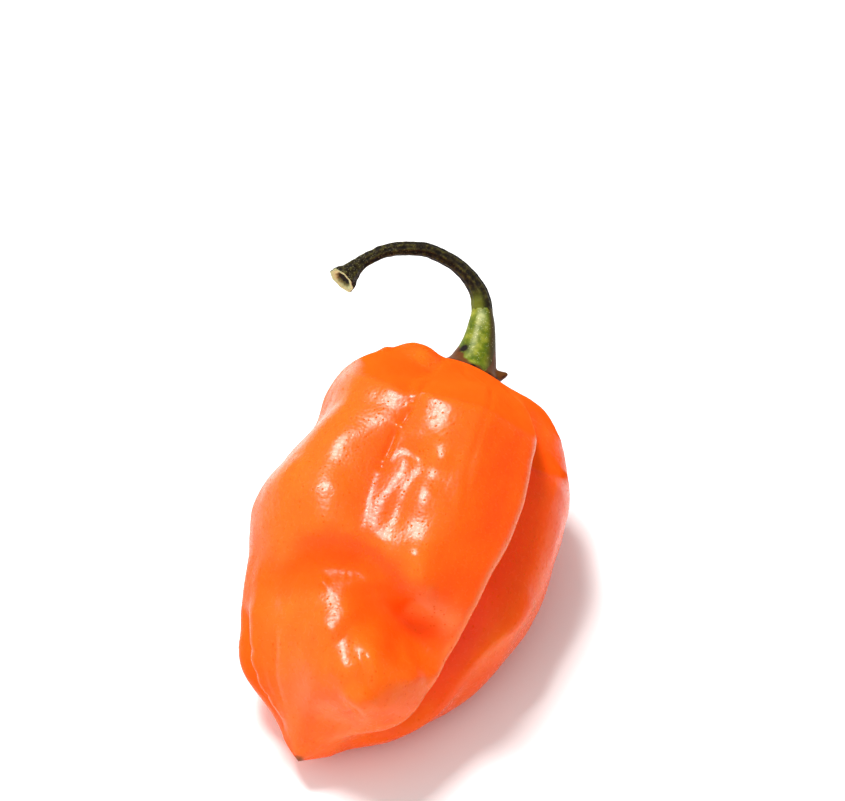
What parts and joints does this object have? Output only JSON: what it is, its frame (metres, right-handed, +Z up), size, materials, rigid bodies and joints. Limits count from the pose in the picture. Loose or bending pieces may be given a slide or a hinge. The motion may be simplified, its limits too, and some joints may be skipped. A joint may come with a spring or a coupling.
{
  "type": "chilli pepper",
  "caption": "Picked habanero-type chilli pepper lying on its back: lobed, folded fruit with a pointed tip, a small green calyx and an arched dark stem with a cut end.",
  "frame": {"origin": "on the floor under the middle of the whole pepper, stem included", "axes": "+Z up, +Y along the fruit towards the calyx end, so the blossom tip points to -Y"},
  "size_m": [0.0392, 0.0668, 0.0319],
  "materials": {
    "fruit_skin": "waxy gloss",
    "calyx_tissue": "satin",
    "stem_bark": "dull"
  },
  "bodies": {
    "root": {"fruit": "fruit_skin", "calyx": "calyx_tissue", "stem": "stem_bark"}
  },
  "joints": []
}
